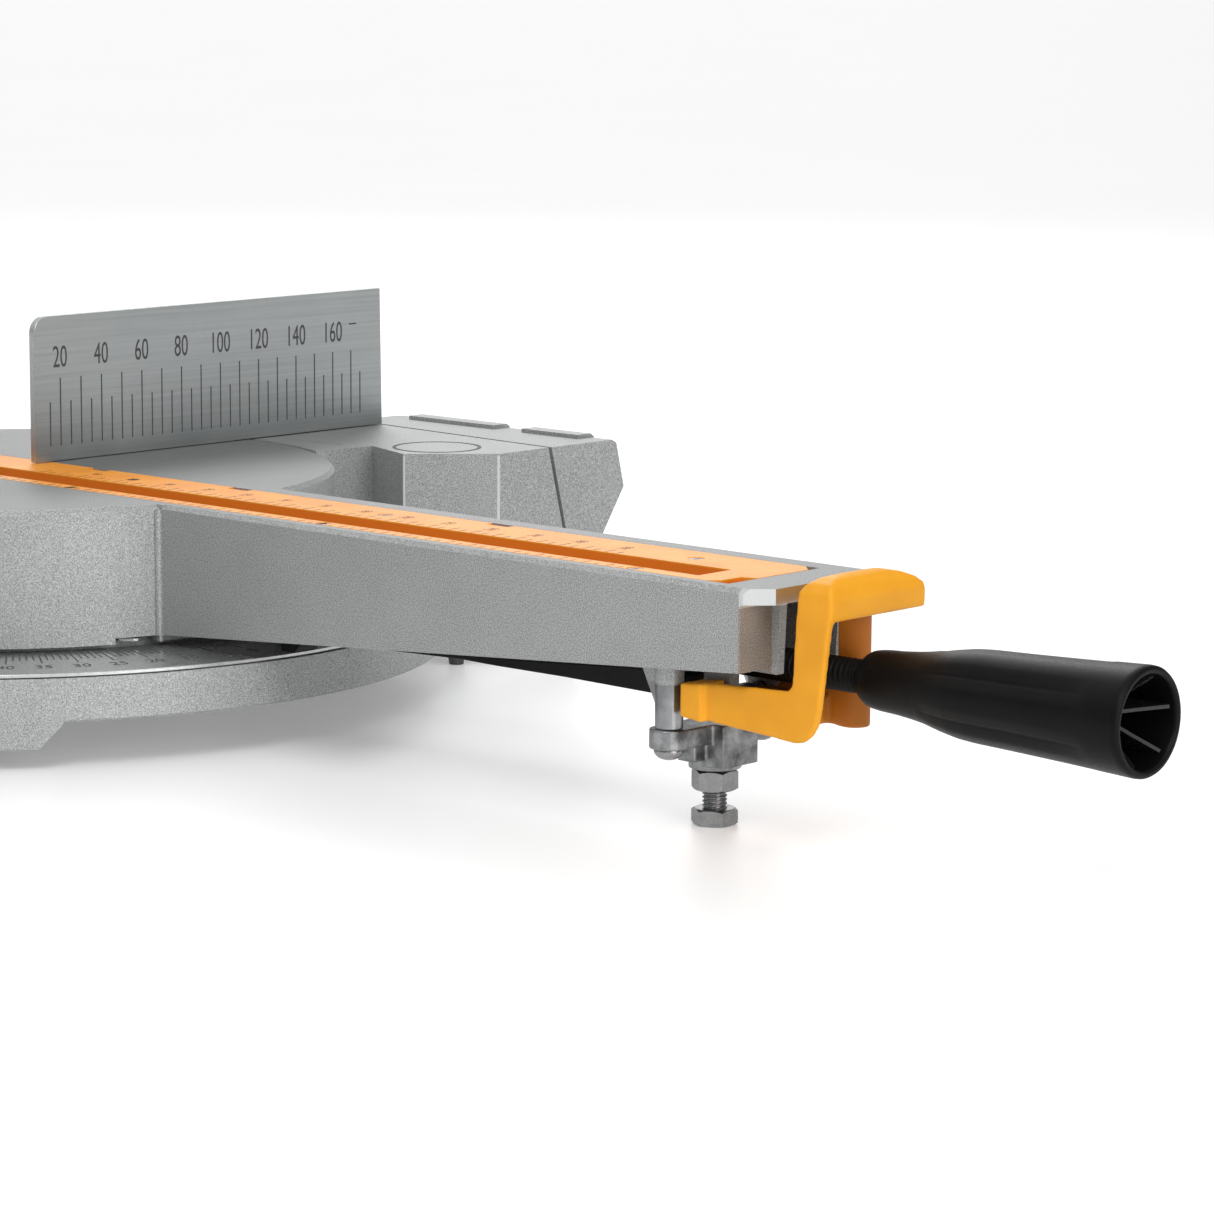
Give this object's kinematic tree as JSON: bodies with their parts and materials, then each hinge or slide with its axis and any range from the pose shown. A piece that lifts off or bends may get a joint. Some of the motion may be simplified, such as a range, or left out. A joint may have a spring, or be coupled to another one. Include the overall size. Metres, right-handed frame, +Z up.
{
  "type": "mitre saw base with rotary table",
  "caption": "Mitre saw base: rotary table with long front arm, kerf plate, scaled fence, detent lever, lock handle and levelling foot, without the saw head.",
  "frame": {"origin": "on the table's swivel axis, at the level of the table top, on the kerf plate", "axes": "+X to the right along the fence, +Y from the front arm towards the fence and the rear, +Z up"},
  "size_m": [0.453, 0.67, 0.1372],
  "materials": {
    "cast_paint": "sand-textured silver-grey paint over cast aluminium",
    "fence_metal": "satin machined plate",
    "scale_metal": "polished scale plate",
    "zinc": "bright zinc plating",
    "bracket_metal": "bare cast aluminium",
    "yellow_plate": "yellow, satin",
    "yellow_lever": "yellow, fine grain",
    "black_steel": "black oxide",
    "black_grip": "black, satin",
    "rubber": "black rubber"
  },
  "bodies": {
    "base": {"base_casting": "cast_paint", "wing_end_right": "cast_paint", "wing_end_left": "cast_paint", "foot_pad_front_right": "rubber", "foot_pad_front_left": "rubber", "foot_pad_rear_right": "rubber", "foot_pad_rear_left": "rubber", "mitre_scale": "scale_metal", "fence_right": "fence_metal", "fence_left": "fence_metal", "fence_bolt_right_1": "zinc", "fence_bolt_right_2": "zinc", "fence_bolt_left_1": "zinc", "fence_bolt_left_2": "zinc", "pivot_bolt": "zinc", "pivot_washer": "zinc"},
    "table": {"rotary_table": "cast_paint", "table_arm": "cast_paint", "kerf_plate": "yellow_plate", "kerf_screw_1": "zinc", "kerf_screw_2": "zinc", "kerf_screw_3": "zinc", "kerf_screw_4": "zinc", "kerf_screw_5": "zinc", "kerf_screw_6": "zinc", "mitre_pointer": "scale_metal", "lever_pin": "zinc", "detent_spring_screw": "zinc", "foot_bracket": "bracket_metal", "bracket_screw_left": "zinc", "bracket_screw_right": "zinc"},
    "lever": {"detent_lever": "yellow_lever"},
    "spring": {"detent_spring": "black_steel"},
    "shoe": {"lock_shoe": "zinc"},
    "lock_screw": {"lock_rod": "black_steel", "lock_handle": "black_grip"},
    "nut": {"lock_nut": "zinc"},
    "foot_bolt": {"levelling_bolt": "zinc"}
  },
  "joints": [
    {"name": "table_swivel", "type": "hinge", "parent": "base", "child": "table", "pos_m": [0, 0, 0], "axis": [0, 0, 1], "range_deg": [-46, 46]},
    {"name": "lever_tilt", "type": "hinge", "parent": "table", "child": "lever", "pos_m": [0, -0.357, -0.0385], "axis": [1, 0, 0], "range_deg": [0, 6], "stiffness_Nm_per_rad": 1, "springref_deg": -5.73},
    {"name": "spring_bend", "type": "hinge", "parent": "table", "child": "spring", "pos_m": [0, -0.342, -0.038], "axis": [1, 0, 0], "range_deg": [-2.2, 0]},
    {"name": "lock_travel", "type": "slide", "parent": "table", "child": "shoe", "axis": [0, -1, 0], "range_m": [0, 0.004]},
    {"name": "lock_turn", "type": "hinge", "parent": "shoe", "child": "lock_screw", "pos_m": [0, -0.4, -0.0276], "axis": [0, -1, 0], "range_deg": [0, 720]},
    {"name": "nut_backoff", "type": "slide", "parent": "table", "child": "nut", "axis": [0, 0, -1], "range_m": [0, 0.0015]},
    {"name": "foot_height", "type": "slide", "parent": "table", "child": "foot_bolt", "axis": [0, 0, 1], "range_m": [-0.002, 0.002]}
  ],
  "couplings": [
    {"joint": "spring_bend", "follows": "lever_tilt", "ratio": -0.35},
    {"joint": "lock_turn", "follows": "lock_travel", "rad_per_m": 3141.5}
  ]
}
